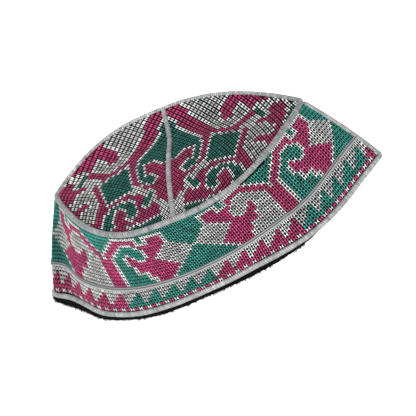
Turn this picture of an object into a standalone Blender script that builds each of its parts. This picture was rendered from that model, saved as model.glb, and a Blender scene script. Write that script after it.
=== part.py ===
# A soft kufi cap of embroidered cloth, standing on its rim and half folded flat.
# Seen from above, both the crown and the rim are pointed ovals, long along X.
# The front of the cap faces -Y. Sizes in the tables and functions are in millimetres.
from collections import namedtuple

import bpy
import numpy as np

MM = 0.001

# Heights
FRONT_RIDGE_HEIGHT = 70.0
BACK_RIDGE_HEIGHT = 64.0
TIP_HEIGHT = 65.0
WAIST_HEIGHT = 25.0
FACING_HEIGHT = 12.0

# Half the length of the crown's oval, and how far its two sides swing out
CROWN_HALF_LENGTH = 92.0
FRONT_SWING = 69.5
BACK_SWING = 49.5
LEFT_TIP_Y = 3.0

# Cloth, cords and the gap that touching pieces keep
CLOTH = 1.8
PIPING_RADIUS = 2.1
SEAM_CORD_RADIUS = 1.8
END_CORD_RADIUS = 1.5
BINDING_RADIUS = 1.8
BRAID_WIDTH = 2.2
BRAID_THICKNESS = 0.8
GAP = 0.3

# How far the cloth stops short of the middle of a cord
TOP_GAP = 2.5
SEAM_GAP = 2.15
END_GAP = 2.4
END_CORD_INSET = 0.6

# The crown's seam: where it meets the front and the back ridge, and how high its cord sits
SEAM_FRONT_X = -1.3
SEAM_BACK_X = -6.3
SEAM_CORD_LIFT = 0.3
CROWN_END_GAP = 5.5

# The facing's wall inside the cloth, and its foot under the binding
FACING_INSET = 3.0
FACING_CLOTH = 1.5
FOOT_INSET_SHOWN = -0.3
FOOT_INSET_HIDDEN = 2.4
FOOT_HIDDEN_BELOW = 2.9
FOOT_SHOWN_ABOVE = 3.2
FOOT_LEAST_HEIGHT = 0.8

# How far each side the loops are averaged to round the tips, in path samples of about 1 mm
CORD_ROUNDING = 3
FACING_ROUNDING = 5

# How closely the solids are divided
FRONT_COLUMNS = 64
BACK_COLUMNS = 44
CROWN_COLUMNS = 15
CROWN_ROWS = 14
SEAM_CORD_POINTS = 29
END_CORD_POINTS = 10
PATH_SAMPLES = 300
STATION_LENGTH = 7.0
STATION_TURN = np.radians(14.0)

# The front wall, a row for each upright section from the left tip to the right one.
# Each section runs from the ridge through the waist, where the braid lies, to the rim.
Section = namedtuple("Section", "ridge_x waist_x waist_y rim_x rim_y")
FRONT_SECTIONS = [
    Section(-92.0, -116.0, -10.0, -128.0, -20.0),   # left tip
    Section(-91.5, -118.5, -17.0, -130.5, -29.0),   # outermost point of the bulge
    Section(-89.5, -113.5, -20.3, -124.6, -35.0),   # bulge turns in
    Section(-86.0, -104.0, -28.2, -112.6, -44.0),   # bottom of the dent
    Section(-82.0, -96.4, -39.8, -102.7, -52.1),    # out of the dent
    Section(-76.5, -86.7, -49.8, -92.6, -60.9),     # shoulder
    Section(-65.6, -71.1, -60.7, -76.2, -68.8),
    Section(-41.0, -43.4, -70.5, -46.6, -76.1),
    Section(-7.5, -8.5, -72.0, -9.8, -74.4),        # front
    Section(23.2, 26.2, -65.6, 24.9, -70.2),
    Section(43.9, 52.5, -56.1, 56.6, -60.8),
    Section(64.1, 77.5, -42.3, 86.0, -44.6),
    Section(81.8, 99.4, -21.1, 105.7, -26.8),
    Section(92.0, 115.5, -6.5, 126.1, -8.1),        # right tip
]

# The back wall is plain: its waist and rim swing out from the line between the tips
BACK_WAIST_SWING = 67.0
BACK_RIM_SWING = 72.0
BACK_ROUNDNESS = 2.25

# The crown's dip, a row for each place across it: share of the way from the front
# ridge to the back one, and the height above the straight line between them
Dip = namedtuple("Dip", "across height")
CROWN_DIPS = [
    Dip(0.0, 0.0),
    Dip(0.15, 1.1),
    Dip(0.30, 1.6),
    Dip(0.485, -0.6),
    Dip(0.653, -4.6),
    Dip(0.762, -6.8),       # valley
    Dip(0.845, -5.3),
    Dip(0.92, -2.5),
    Dip(1.0, 0.0),
]
DIP_FADE = 2.2

# The height of the binding's middle, a row for each place along the front wall
BindingHeight = namedtuple("BindingHeight", "along height")
BINDING_HEIGHTS = [
    BindingHeight(0.0, 4.6),
    BindingHeight(0.05, 5.0),
    BindingHeight(0.10, 6.0),
    BindingHeight(0.165, 6.9),      # past the dent
    BindingHeight(0.22, 5.1),
    BindingHeight(0.30, 4.6),
    BindingHeight(0.37, 5.4),
    BindingHeight(0.44, 5.6),
    BindingHeight(0.52, 5.7),
    BindingHeight(0.60, 6.1),
    BindingHeight(0.66, 4.8),
    BindingHeight(0.72, 3.3),
    BindingHeight(0.78, 3.0),
    BindingHeight(0.88, 2.4),
    BindingHeight(1.0, 2.4),
]
BACK_BINDING_HEIGHT = 2.4
BACK_BINDING_EASE = 8

# Rows of the walls: 0 is the top edge, 1 the waist and 2 the bottom edge
FRONT_ROWS = [0.0, 0.25, 0.5, 0.75, 1.0, 1.5, 2.0]
BACK_ROWS = [0.0, 0.33, 0.67, 1.0, 1.5, 2.0]

COLOURS = {
    "crown": ((0.30, 0.05, 0.12, 1), 0.75),
    "band": ((0.06, 0.30, 0.26, 1), 0.75),
    "cord": ((0.55, 0.58, 0.56, 1), 0.55),
    "velvet": ((0.012, 0.012, 0.014, 1), 0.95),
}


def natural_spline(knots, rows, at):
    """The natural cubic spline through `rows` at `knots`, read at `at`."""
    step = np.diff(knots)[:, None]
    slope = np.diff(rows, axis=0) / step
    system = np.eye(len(knots))
    bend = np.zeros_like(rows)
    for i in range(1, len(knots) - 1):
        system[i, i - 1:i + 2] = step[i - 1, 0], 2 * (step[i - 1, 0] + step[i, 0]), step[i, 0]
        bend[i] = 6 * (slope[i] - slope[i - 1])
    bend = np.linalg.solve(system, bend)
    span = np.clip(np.searchsorted(knots, at) - 1, 0, len(knots) - 2)
    right = (at - knots[span])[:, None] / step[span]
    left = 1 - right
    curve = (left ** 3 - left) * bend[span] + (right ** 3 - right) * bend[span + 1]
    return left * rows[span] + right * rows[span + 1] + curve * step[span] ** 2 / 6


def running_length(path):
    """Length along a path of points, from 0 at its first point."""
    return np.concatenate([[0], np.cumsum(np.linalg.norm(np.diff(path, axis=0), axis=1))])


def swing_share(x, middle, left_power, right_power):
    """1 at the middle of an oval's side and 0 at both tips, rounder for a higher power."""
    reach = np.where(x < middle, (middle - x) / (middle + CROWN_HALF_LENGTH),
                     (x - middle) / (CROWN_HALF_LENGTH - middle))
    return 1 - np.clip(reach, 0, 1) ** np.where(x < middle, left_power, right_power)


def tip_line(x):
    """The straight line between the crown's two tips."""
    return LEFT_TIP_Y * (CROWN_HALF_LENGTH - x) / (2 * CROWN_HALF_LENGTH)


def front_ridge_y(x):
    return tip_line(x) - FRONT_SWING * swing_share(x, -2.0, 2.95, 2.4)


def back_ridge_y(x):
    return tip_line(x) + BACK_SWING * swing_share(x, -4.0, 3.0, 2.0)


def ridge_height(x, top):
    """Highest or lowest in the middle, and TIP_HEIGHT at both tips."""
    return top + (TIP_HEIGHT - top) * np.clip(np.abs(x) / CROWN_HALF_LENGTH, 0, 1) ** 2


def front_lines(along):
    """Ridge, waist and rim of the front wall at each share of the way from left to right."""
    sections = np.array(FRONT_SECTIONS)
    knots = running_length(sections[:, 3:5])
    read = natural_spline(knots / knots[-1], sections, along)
    ridge_x = read[:, 0]
    ridge = np.stack([ridge_x, front_ridge_y(ridge_x), ridge_height(ridge_x, FRONT_RIDGE_HEIGHT)], 1)
    return ridge, read[:, 1:3], read[:, 3:5]


def back_lines(along):
    """Ridge, waist and rim of the back wall at each share of the way from right to left."""
    left, right = FRONT_SECTIONS[0], FRONT_SECTIONS[-1]
    swing = 1 - np.abs(1 - 2 * along) ** BACK_ROUNDNESS
    ridge_x = CROWN_HALF_LENGTH * (1 - 2 * along)
    ridge = np.stack([ridge_x, back_ridge_y(ridge_x), ridge_height(ridge_x, BACK_RIDGE_HEIGHT)], 1)
    waist = np.stack([right.waist_x + (left.waist_x - right.waist_x) * along,
                      right.waist_y + (left.waist_y - right.waist_y) * along + BACK_WAIST_SWING * swing], 1)
    rim = np.stack([right.rim_x + (left.rim_x - right.rim_x) * along,
                    right.rim_y + (left.rim_y - right.rim_y) * along + BACK_RIM_SWING * swing], 1)
    return ridge, waist, rim


def wall(lines, along, height):
    """Outer face of a wall: at each place a smooth upright curve through ridge, waist and rim."""
    ridge, waist, rim = lines(along)
    top = ridge[:, 2]
    to_ridge = height * (height - WAIST_HEIGHT) / (top * (top - WAIST_HEIGHT))
    to_waist = height * (height - top) / (WAIST_HEIGHT * (WAIST_HEIGHT - top))
    to_rim = (height - top) * (height - WAIST_HEIGHT) / (top * WAIST_HEIGHT)
    flat = to_ridge[:, None] * ridge[:, :2] + to_waist[:, None] * waist + to_rim[:, None] * rim
    return np.column_stack([flat, height])


def binding_height(lines, along):
    """Height of the binding's middle above the surface the cap stands on."""
    table = np.array(BINDING_HEIGHTS)
    if lines is front_lines:
        return np.interp(along, table[:, 0], table[:, 1])
    near_tip = np.abs(1 - 2 * along) ** BACK_BINDING_EASE
    tip_height = np.where(along < 0.5, table[-1, 1], table[0, 1])
    return BACK_BINDING_HEIGHT + (tip_height - BACK_BINDING_HEIGHT) * near_tip


def row_height(lines, along, row):
    """Height of a wall's row: 0 just under the piping, 1 at the waist, 2 just over the binding."""
    top = lines(along)[0][:, 2] - TOP_GAP
    bottom = binding_height(lines, along) + BINDING_RADIUS + GAP
    if row <= 1:
        return top + (WAIST_HEIGHT - top) * row
    return WAIST_HEIGHT + (bottom - WAIST_HEIGHT) * (row - 1)


def trimmed_places(lines, height_of, columns):
    """Places along a wall's row that stop END_GAP short of both tips."""
    dense = np.linspace(0, 1, 4 * PATH_SAMPLES)
    run = running_length(wall(lines, dense, height_of(dense)))
    first, last = np.interp([END_GAP, run[-1] - END_GAP], run, dense)
    return np.linspace(first, last, columns + 1)


def wall_grid(lines, rows, columns):
    grid = []
    for row in rows:
        places = trimmed_places(lines, lambda along: row_height(lines, along, row), columns)
        grid.append(wall(lines, places, row_height(lines, places, row)))
    return np.array(grid)


def braid_grid(lines, columns):
    """Two rows, half the braid's width over and under the waist, just off the wall's face."""
    grid = []
    for side in (0.5, -0.5):
        def height_of(along):
            return np.full_like(along, WAIST_HEIGHT + side * BRAID_WIDTH)
        places = trimmed_places(lines, height_of, columns)
        path = wall(lines, places, height_of(places))
        grid.append(path + GAP * outward(path, closed=False))
    return np.array(grid)


def outward(path, closed):
    """Level unit vectors to the right of a path that runs anticlockwise seen from above."""
    if closed:
        ahead = np.roll(path, -1, axis=0) - np.roll(path, 1, axis=0)
    else:
        ahead = np.gradient(path, axis=0)
    side = np.stack([ahead[:, 1], -ahead[:, 0], np.zeros(len(path))], 1)
    return side / np.linalg.norm(side, axis=1, keepdims=True)


def smooth_loop(loop, reach):
    """Each point of a closed loop becomes the mean of its neighbours, to round the tips."""
    total = np.zeros_like(loop)
    for shift in range(-reach, reach + 1):
        total += np.roll(loop, shift, axis=0)
    return total / (2 * reach + 1)


def wall_loop(height_of, reach):
    """Closed loop around both walls, at the height that height_of gives, with rounded tips."""
    places = np.arange(PATH_SAMPLES) / PATH_SAMPLES
    front = wall(front_lines, places, height_of(front_lines, places))
    back = wall(back_lines, places, height_of(back_lines, places))
    return smooth_loop(np.concatenate([front, back]), reach)


def ridge_loop(reach):
    """Closed loop round the crown, along both ridges, with rounded tips and even steps."""
    places = np.arange(PATH_SAMPLES) / PATH_SAMPLES
    loop = np.concatenate([front_lines(places)[0], back_lines(places)[0]])
    closed = np.concatenate([loop, loop[:1]])
    run = running_length(closed)
    even = np.linspace(0, run[-1], 2 * PATH_SAMPLES, endpoint=False)
    evened = np.stack([np.interp(even, run, closed[:, axis]) for axis in range(3)], 1)
    return smooth_loop(evened, reach)


def stations(loop):
    """Indices of a loop's points, closer together where it turns."""
    closed = np.concatenate([loop, loop[:1]])
    step = np.diff(closed, axis=0)
    heading = np.unwrap(np.arctan2(step[:, 1], step[:, 0]))
    turn = np.concatenate([[0], np.abs(np.diff(heading))])
    effort = np.cumsum(np.linalg.norm(step, axis=1) / STATION_LENGTH + turn / STATION_TURN)
    wanted = np.linspace(effort[0], effort[-1], int(effort[-1]), endpoint=False)
    return np.unique(np.searchsorted(effort, wanted))


def crown_edges():
    """The front and back edge of the crown's cloth, inside the piping, each as (x, y) rows."""
    loop = ridge_loop(CORD_ROUNDING)
    edge = (loop - TOP_GAP * outward(loop, closed=True))[:, :2]
    middle = (front_ridge_y(edge[:, 0]) + back_ridge_y(edge[:, 0])) / 2
    front = edge[edge[:, 1] < middle]
    back = edge[edge[:, 1] >= middle]
    return front[np.argsort(front[:, 0])], back[np.argsort(back[:, 0])]


def crown_height(x, y):
    """Upper face of the crown: a straight line from ridge to ridge, and the dip on it."""
    dips = np.array(CROWN_DIPS)
    front, back = front_ridge_y(x), back_ridge_y(x)
    across = np.clip((y - front) / (back - front), 0, 1)
    front_top, back_top = ridge_height(x, FRONT_RIDGE_HEIGHT), ridge_height(x, BACK_RIDGE_HEIGHT)
    fade = 1 - np.clip(np.abs(x) / CROWN_HALF_LENGTH, 0, 1) ** DIP_FADE
    dip = natural_spline(dips[:, 0], dips[:, 1:], across)[:, 0]
    return front_top + (back_top - front_top) * across + dip * fade


def crown_grid(side):
    """Grid over one half of the crown, from the seam (side -1 or 1) to the cap's tip."""
    front, back = crown_edges()
    share = np.linspace(0, 1, CROWN_COLUMNS + 1)
    end_x = side * (CROWN_HALF_LENGTH - CROWN_END_GAP)
    front_x = SEAM_FRONT_X + side * SEAM_GAP
    back_x = SEAM_BACK_X + side * SEAM_GAP
    front_x = front_x + (end_x - front_x) * share
    back_x = back_x + (end_x - back_x) * share
    front_y = np.interp(front_x, front[:, 0], front[:, 1])
    back_y = np.interp(back_x, back[:, 0], back[:, 1])
    rows = []
    for across in np.linspace(0, 1, CROWN_ROWS + 1):
        x = front_x + (back_x - front_x) * across
        y = front_y + (back_y - front_y) * across
        rows.append(np.stack([x, y, crown_height(x, y)], 1))
    grid = np.array(rows)
    if side > 0:
        return grid
    return grid[:, ::-1]


def seam_cord_path():
    """Middle of the cord over the crown's seam, stopping short of the piping at both ends."""
    front_y = front_ridge_y(np.array([SEAM_FRONT_X]))[0]
    back_y = back_ridge_y(np.array([SEAM_BACK_X]))[0]
    y = np.linspace(front_y + TOP_GAP, back_y - TOP_GAP, SEAM_CORD_POINTS)
    x = SEAM_FRONT_X + (SEAM_BACK_X - SEAM_FRONT_X) * (y - front_y) / (back_y - front_y)
    return np.stack([x, y, crown_height(x, y) + SEAM_CORD_LIFT], 1)


def end_cord_path(tip):
    """Middle of the cord down a tip's crease: tip is -1 on the left and 1 on the right."""
    along = np.full(END_CORD_POINTS, 0.0 if tip < 0 else 1.0)
    top = TIP_HEIGHT - PIPING_RADIUS - GAP
    bottom = binding_height(front_lines, along)[0] + BINDING_RADIUS + GAP
    path = wall(front_lines, along, np.linspace(top, bottom, len(along)))
    path[:, 0] -= tip * END_CORD_INSET
    return path


def make_material(name):
    colour, roughness = COLOURS[name]
    material = bpy.data.materials.new(name)
    material.use_nodes = True
    shader = material.node_tree.nodes["Principled BSDF"]
    shader.inputs["Base Color"].default_value = colour
    shader.inputs["Roughness"].default_value = roughness
    material.diffuse_color = colour
    return material


def add_object(name, data, material):
    thing = bpy.data.objects.new(name, data)
    thing.data.materials.append(make_material(material))
    collection.objects.link(thing)
    return thing


def grid_mesh(name, grid):
    """Open sheet of four-sided faces; faces look along (first index) x (second index)."""
    rows, columns = grid.shape[:2]
    mesh = bpy.data.meshes.new(name)
    faces = [(r * columns + c, (r + 1) * columns + c, (r + 1) * columns + c + 1, r * columns + c + 1)
             for r in range(rows - 1) for c in range(columns - 1)]
    mesh.from_pydata((grid.reshape(-1, 3) * MM).tolist(), [], faces)
    mesh.shade_smooth()
    return mesh


def add_cloth(name, grid, material, thickness, side):
    """A sheet made thick: side -1 grows it inwards, 1 outwards."""
    thing = add_object(name, grid_mesh(name, grid), material)
    solidify = thing.modifiers.new("cloth", "SOLIDIFY")
    solidify.thickness = thickness * MM
    solidify.offset = side
    return thing


def add_cord(name, path, radius, closed):
    curve = bpy.data.curves.new(name, "CURVE")
    curve.dimensions = "3D"
    curve.bevel_depth = radius * MM
    curve.bevel_resolution = 2
    curve.use_fill_caps = not closed
    spline = curve.splines.new("POLY")
    spline.points.add(len(path) - 1)
    for point, place in zip(spline.points, path * MM):
        point.co = (*place, 1)
    spline.use_cyclic_u = closed
    return add_object(name, curve, "cord")


def add_facing(name):
    """Velvet loop inside the rim, with a foot that shows under the binding where it is raised."""
    def foot_top(lines, along):
        return np.maximum(binding_height(lines, along) - BINDING_RADIUS - GAP, FOOT_LEAST_HEIGHT)

    def floor(lines, along):
        return np.zeros_like(along)

    def facing_top(lines, along):
        return np.full_like(along, FACING_HEIGHT)

    places = np.arange(PATH_SAMPLES) / PATH_SAMPLES
    raised = np.concatenate([binding_height(lines, places) for lines in (front_lines, back_lines)])
    foot = np.interp(raised, [FOOT_HIDDEN_BELOW, FOOT_SHOWN_ABOVE], [FOOT_INSET_HIDDEN, FOOT_INSET_SHOWN])
    inner = np.full_like(foot, FACING_INSET + FACING_CLOTH)
    outer = np.full_like(foot, FACING_INSET)
    rings = [(floor, foot), (foot_top, foot), (foot_top, outer),
             (facing_top, outer), (facing_top, inner), (floor, inner)]
    chosen = stations(wall_loop(floor, FACING_ROUNDING))
    grid = []
    for height_of, inset in rings:
        loop = wall_loop(height_of, FACING_ROUNDING)
        grid.append((loop - inset[:, None] * outward(loop, closed=True))[chosen])
    mesh = bpy.data.meshes.new(name)
    count = len(chosen)
    faces = []
    for ring in range(len(rings)):
        after = (ring + 1) % len(rings)
        for i in range(count):
            j = (i + 1) % count
            faces.append((ring * count + i, ring * count + j, after * count + j, after * count + i))
    mesh.from_pydata((np.concatenate(grid) * MM).tolist(), [], faces)
    return add_object(name, mesh, "velvet")


def centre_on_box(things):
    """Moves every piece so that the middle of the box around them stands over the origin."""
    bpy.context.view_layer.update()
    graph = bpy.context.evaluated_depsgraph_get()
    low = np.full(3, np.inf)
    high = np.full(3, -np.inf)
    for thing in things:
        mesh = thing.evaluated_get(graph).to_mesh()
        corners = np.empty(len(mesh.vertices) * 3)
        mesh.vertices.foreach_get("co", corners)
        low = np.minimum(low, corners.reshape(-1, 3).min(axis=0))
        high = np.maximum(high, corners.reshape(-1, 3).max(axis=0))
        thing.evaluated_get(graph).to_mesh_clear()
    for thing in things:
        thing.location.x = -(low[0] + high[0]) / 2
        thing.location.y = -(low[1] + high[1]) / 2
    moved = things[0].location / MM
    print(f"centred by moving {moved.x:.3f}, {moved.y:.3f} mm; box {(high - low) / MM} mm")


for old in list(bpy.data.objects):
    bpy.data.objects.remove(old, do_unlink=True)
collection = bpy.data.collections.new("kufi")
bpy.context.scene.collection.children.link(collection)

pieces = [
    add_cloth("crown_left", crown_grid(-1)[::-1], "crown", CLOTH, -1),
    add_cloth("crown_right", crown_grid(1)[::-1], "crown", CLOTH, -1),
    add_cord("crown_seam_cord", seam_cord_path(), SEAM_CORD_RADIUS, closed=False),
    add_cloth("band_front", wall_grid(front_lines, FRONT_ROWS, FRONT_COLUMNS), "band", CLOTH, -1),
    add_cloth("band_back", wall_grid(back_lines, BACK_ROWS, BACK_COLUMNS), "band", CLOTH, -1),
    add_cloth("band_braid_front", braid_grid(front_lines, FRONT_COLUMNS), "cord", BRAID_THICKNESS, 1),
    add_cloth("band_braid_back", braid_grid(back_lines, BACK_COLUMNS), "cord", BRAID_THICKNESS, 1),
    add_cord("end_seam_cord_left", end_cord_path(-1), END_CORD_RADIUS, closed=False),
    add_cord("end_seam_cord_right", end_cord_path(1), END_CORD_RADIUS, closed=False),
    add_facing("rim_velvet"),
]
ridge = ridge_loop(CORD_ROUNDING)
pieces.append(add_cord("ridge_piping", ridge[stations(ridge)], PIPING_RADIUS, closed=True))
binding = wall_loop(binding_height, CORD_ROUNDING)
pieces.append(add_cord("rim_binding", binding[stations(binding)], BINDING_RADIUS, closed=True))
centre_on_box(pieces)
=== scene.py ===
import bmesh
import bpy
import numpy as np
from mathutils import Matrix, Vector


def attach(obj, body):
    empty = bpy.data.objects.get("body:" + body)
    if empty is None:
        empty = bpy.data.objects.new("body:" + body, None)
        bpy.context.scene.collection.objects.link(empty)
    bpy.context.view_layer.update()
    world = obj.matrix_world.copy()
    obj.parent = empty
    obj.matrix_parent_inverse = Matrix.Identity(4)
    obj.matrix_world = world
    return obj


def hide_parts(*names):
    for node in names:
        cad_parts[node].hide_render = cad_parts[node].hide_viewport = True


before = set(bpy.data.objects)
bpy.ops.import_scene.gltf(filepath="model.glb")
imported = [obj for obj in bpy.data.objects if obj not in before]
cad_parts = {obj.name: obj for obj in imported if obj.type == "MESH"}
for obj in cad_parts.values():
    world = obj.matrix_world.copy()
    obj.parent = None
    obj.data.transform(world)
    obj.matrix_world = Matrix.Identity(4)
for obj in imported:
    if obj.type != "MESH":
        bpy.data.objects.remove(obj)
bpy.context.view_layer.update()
print("stage 1: the packed cap is loaded")

# where the cap's own middle stands in the frame, and how its ovals swing
capShape = {
    "shift": (2.341, 8.505, 0.0),
    "halfLength": 92.0,
    "frontSwing": 69.5,
    "frontShape": (-2.0, 2.95, 2.4),   # the swing's middle, and its powers to the left and right
    "backSwing": 49.5,
    "backShape": (-4.0, 3.0, 2.0),
    "leftTipY": 3.0,
    "frontTop": 70.0,
    "backTop": 64.0,
    "tipTop": 65.0,
    "waist": 25.0,
    "backWaistSwing": 67.0,
    "backRimSwing": 72.0,
    "backRoundness": 2.25,
    "dipFade": 2.2,          # powers by which the crown's dip fades and the binding sinks from the tips
    "bindingFade": 8,
}

# upright sections of the front wall: ridgeX, waistX, waistY, rimX, rimY
frontSections = np.array([
    (-92.0, -116.0, -10.0, -128.0, -20.0),   # left tip
    (-91.5, -118.5, -17.0, -130.5, -29.0),   # bulge
    (-89.5, -113.5, -20.3, -124.6, -35.0),
    (-86.0, -104.0, -28.2, -112.6, -44.0),   # dent
    (-82.0, -96.4, -39.8, -102.7, -52.1),
    (-76.5, -86.7, -49.8, -92.6, -60.9),     # shoulder
    (-65.6, -71.1, -60.7, -76.2, -68.8),
    (-41.0, -43.4, -70.5, -46.6, -76.1),
    (-7.5, -8.5, -72.0, -9.8, -74.4),        # front
    (23.2, 26.2, -65.6, 24.9, -70.2),
    (43.9, 52.5, -56.1, 56.6, -60.8),
    (64.1, 77.5, -42.3, 86.0, -44.6),
    (81.8, 99.4, -21.1, 105.7, -26.8),
    (92.0, 115.5, -6.5, 126.1, -8.1),        # right tip
])

# height of the binding's middle: share of the way along the front, height
bindingHeights = np.array([
    (0.0, 4.6), (0.05, 5.0), (0.10, 6.0), (0.165, 6.9), (0.22, 5.1),
    (0.30, 4.6), (0.37, 5.4), (0.44, 5.6), (0.52, 5.7), (0.60, 6.1),
    (0.66, 4.8), (0.72, 3.3), (0.78, 3.0), (0.88, 2.4), (1.0, 2.4),
])

# the crown's dip: share of the way from the front ridge to the back one, height
crownDips = np.array([
    (0.0, 0.0), (0.15, 1.1), (0.30, 1.6), (0.485, -0.6), (0.653, -4.6),
    (0.762, -6.8), (0.845, -5.3), (0.92, -2.5), (1.0, 0.0),
])

cordSizes = {
    "pipingRadius": 2.1,
    "seamRadius": 1.8,
    "endRadius": 1.5,
    "endInset": 0.6,
    "bindingRadius": 1.8,
    "seamLift": 0.3,
    "seamFrontX": -1.3,
    "seamBackX": -6.3,
    "seamTuck": 1.2,         # its ends from the ridges
    "endTop": 1.6,           # the end cords' top below the tip, and their end over the binding
    "endBottom": 1.0,
    "pipingFrom": (-25.0, 0.0),   # where the piping passes from its front to its back
    "pipingIn": 0.3,         # towards the crown, as a share of its rise
    "pipingSunk": 0.3,       # at the back
}


def toFrame(points):
    # cap millimetres to frame metres: add the shift, then a thousandth
    return (points + np.array(capShape["shift"])) * 0.001


def readTable(table, at):
    # straight lines between a table's rows, from its first column to its second
    return np.interp(at, table[:, 0], table[:, 1])


def unit(vectors):
    # each vector over its own length
    return vectors / np.linalg.norm(vectors, axis=-1, keepdims=True)


def levelNormal(ahead):
    # level and square to the way ahead
    return unit(np.stack([ahead[..., 1], -ahead[..., 0], np.zeros(ahead.shape[:-1])], -1))


def aheadOnLoop(loop):
    # from the point before each point of a closed loop to the one after it
    return np.roll(loop, -1, axis=0) - np.roll(loop, 1, axis=0)


def naturalSpline(knots, rows, at):
    # cubic pieces through the rows whose bend is level at the joins and nil at both ends
    step = np.diff(knots)[:, None]
    slope = np.diff(rows, axis=0) / step
    system = np.eye(len(knots))
    bend = np.zeros_like(rows)
    for i in range(1, len(knots) - 1):
        system[i, i - 1:i + 2] = step[i - 1, 0], 2 * (step[i - 1, 0] + step[i, 0]), step[i, 0]
        bend[i] = 6 * (slope[i] - slope[i - 1])
    bend = np.linalg.solve(system, bend)
    flat = np.clip(np.ravel(at), knots[0], knots[-1])
    span = np.clip(np.searchsorted(knots, flat) - 1, 0, len(knots) - 2)
    right = (flat - knots[span])[:, None] / step[span]
    left = 1 - right
    curve = (left ** 3 - left) * bend[span] + (right ** 3 - right) * bend[span + 1]
    made = left * rows[span] + right * rows[span + 1] + curve * step[span] ** 2 / 6
    return made.reshape(np.shape(at) + (rows.shape[1],))


def runningLength(path):
    # sum of the steps along a path, from nought at its first point
    return np.concatenate([[0], np.cumsum(np.linalg.norm(np.diff(path, axis=0), axis=1))])


def swingShare(x, middle, leftPower, rightPower):
    # one at the middle of an oval's side, falling to nought at both tips by a power of the way
    half = capShape["halfLength"]
    reach = np.where(x < middle, (middle - x) / (middle + half), (x - middle) / (half - middle))
    return 1 - np.clip(reach, 0, 1) ** np.where(x < middle, leftPower, rightPower)


def tipLine(x):
    # straight line from one tip of the crown to the other
    half = capShape["halfLength"]
    return capShape["leftTipY"] * (half - x) / (2 * half)


def frontRidgeY(x):
    # the tip line less the front swing
    return tipLine(x) - capShape["frontSwing"] * swingShare(x, *capShape["frontShape"])


def backRidgeY(x):
    # the tip line and the back swing
    return tipLine(x) + capShape["backSwing"] * swingShare(x, *capShape["backShape"])


def ridgeHeight(x, top):
    # the middle's height, passing to the tips' height by the square of the way
    half = capShape["halfLength"]
    return top + (capShape["tipTop"] - top) * np.clip(np.abs(x) / half, 0, 1) ** 2


def wallLines(side, along):
    # ridge, waist and rim at each share of the way: a spline in front, a plain oval behind
    if side == "front":
        knots = runningLength(frontSections[:, 3:5])
        read = naturalSpline(knots / knots[-1], frontSections, along)
        ridgeX = read[..., 0]
        ridge = np.stack([ridgeX, frontRidgeY(ridgeX), ridgeHeight(ridgeX, capShape["frontTop"])], -1)
        return ridge, read[..., 1:3], read[..., 3:5]
    left, right = frontSections[0], frontSections[-1]
    along = np.asarray(along, float)
    swing = 1 - np.abs(1 - 2 * along) ** capShape["backRoundness"]
    ridgeX = capShape["halfLength"] * (1 - 2 * along)
    ridge = np.stack([ridgeX, backRidgeY(ridgeX), ridgeHeight(ridgeX, capShape["backTop"])], -1)
    waist = right[1:3] + (left[1:3] - right[1:3]) * along[..., None]
    rim = right[3:5] + (left[3:5] - right[3:5]) * along[..., None]
    waist[..., 1] += capShape["backWaistSwing"] * swing
    rim[..., 1] += capShape["backRimSwing"] * swing
    return ridge, waist, rim


def wallPoint(side, along, height):
    # the wall's face: the parabola in height through ridge, waist and rim
    ridge, waist, rim = wallLines(side, along)
    top, middle = ridge[..., 2], capShape["waist"]
    toRidge = height * (height - middle) / (top * (top - middle))
    toWaist = height * (height - top) / (middle * (middle - top))
    toRim = (height - top) * (height - middle) / (top * middle)
    flat = toRidge[..., None] * ridge[..., :2] + toWaist[..., None] * waist + toRim[..., None] * rim
    return np.concatenate([flat, np.broadcast_to(height, top.shape)[..., None]], -1)


def bindingHeight(side, along):
    # the table in front; behind, the low height, easing to the tips' own near them
    along = np.asarray(along, float)
    if side == "front":
        return readTable(bindingHeights, along)
    low = bindingHeights[-1, 1]
    tip = np.where(along < 0.5, low, bindingHeights[0, 1])
    return low + (tip - low) * np.abs(1 - 2 * along) ** capShape["bindingFade"]


def crownHeight(x, y):
    # a straight line from ridge to ridge, and the dip on it, which fades towards the tips
    front, back = frontRidgeY(x), backRidgeY(x)
    across = np.clip((y - front) / np.maximum(back - front, 1e-6), 0, 1)
    frontTop, backTop = ridgeHeight(x, capShape["frontTop"]), ridgeHeight(x, capShape["backTop"])
    fade = 1 - np.clip(np.abs(x) / capShape["halfLength"], 0, 1) ** capShape["dipFade"]
    dip = naturalSpline(crownDips[:, 0], crownDips[:, 1:], across)[..., 0]
    return frontTop + (backTop - frontTop) * across + dip * fade


def crownPoint(x, y):
    # the crown's face over a place seen from above
    return np.stack([x, y, crownHeight(x, y)], -1)


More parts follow.
